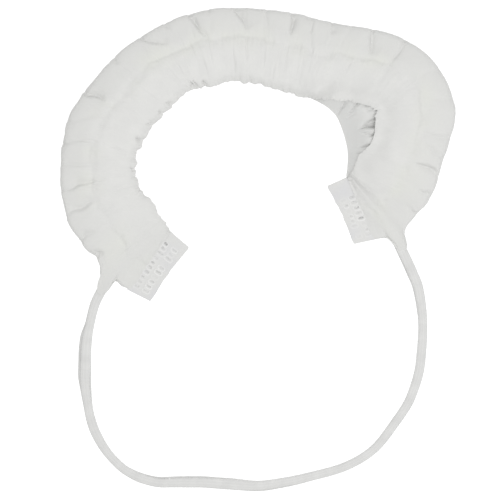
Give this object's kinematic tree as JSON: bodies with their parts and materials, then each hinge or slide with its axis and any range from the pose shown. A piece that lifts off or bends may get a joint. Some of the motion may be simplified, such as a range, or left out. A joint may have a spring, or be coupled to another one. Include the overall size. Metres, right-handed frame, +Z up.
{
  "type": "beard cover",
  "caption": "Disposable gathered cloth beard cover: a soft open pouch bent into an arc, flat welded ends and a thin elastic strap that loops behind the head.",
  "frame": {"origin": "on the table, under the middle of the cover's own box (pouch and welded ends, without the strap)", "axes": "+X from the left weld to the right weld, across the arc; +Y away from the strap, towards the top of the arc; +Z up from the table"},
  "size_m": [0.1584, 0.1931, 0.0167],
  "materials": {
    "cover_cloth": "thin white non-woven cloth, matt, finely dimpled, gathered",
    "welded_cloth": "the same cloth fused flat, slightly glossier, with short pressed weld bars",
    "elastic_tape": "soft white non-woven elastic tape, matt, fine lengthwise ribs"
  },
  "bodies": {
    "root": {"cover_pouch": "cover_cloth", "weld_tab_left": "welded_cloth", "weld_tab_right": "welded_cloth", "head_elastic": "elastic_tape"}
  },
  "joints": []
}
